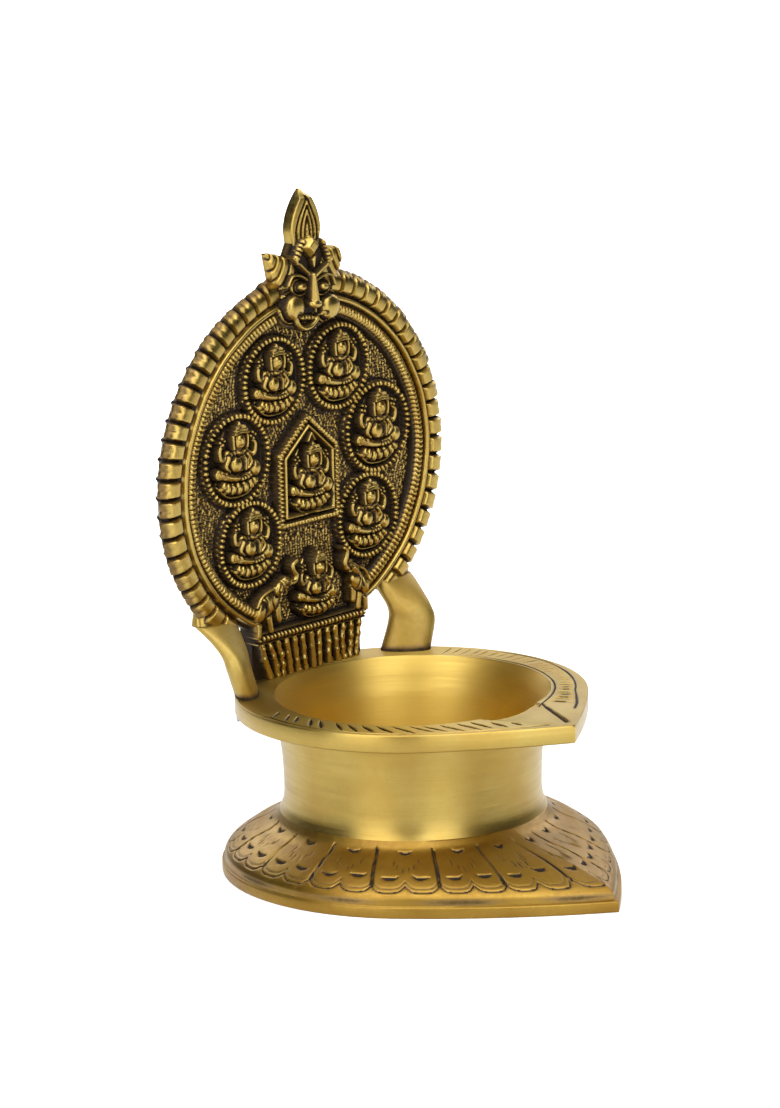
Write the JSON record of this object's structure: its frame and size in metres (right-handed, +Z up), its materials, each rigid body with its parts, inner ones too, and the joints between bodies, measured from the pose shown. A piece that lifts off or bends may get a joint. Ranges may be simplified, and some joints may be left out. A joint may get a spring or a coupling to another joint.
{
  "type": "brass oil lamp",
  "caption": "Brass oil lamp: round bowl with teardrop rim and spout on a flared foot, with an oval carved back plate carried by curved arms.",
  "frame": {"origin": "under the middle of the lamp's outline, on the surface that it stands on", "axes": "+Z up; the spout points to -Y and the back plate stands at +Y with its carved side facing -Y; +X is to the lamp's left as it faces the viewer"},
  "size_m": [0.1, 0.1142, 0.165],
  "materials": {
    "satin_brass": "satin, brushed",
    "aged_brass": "polished high points over dark patina",
    "screw_steel": "plain"
  },
  "bodies": {
    "root": {"foot": "satin_brass", "oil_bowl": "satin_brass", "back_plate": "aged_brass", "left_arm": "satin_brass", "right_arm": "satin_brass", "left_arm_screw": "screw_steel", "right_arm_screw": "screw_steel", "left_panel_screw": "screw_steel", "right_panel_screw": "screw_steel", "base_washer": "screw_steel", "base_screw": "screw_steel"}
  },
  "joints": []
}
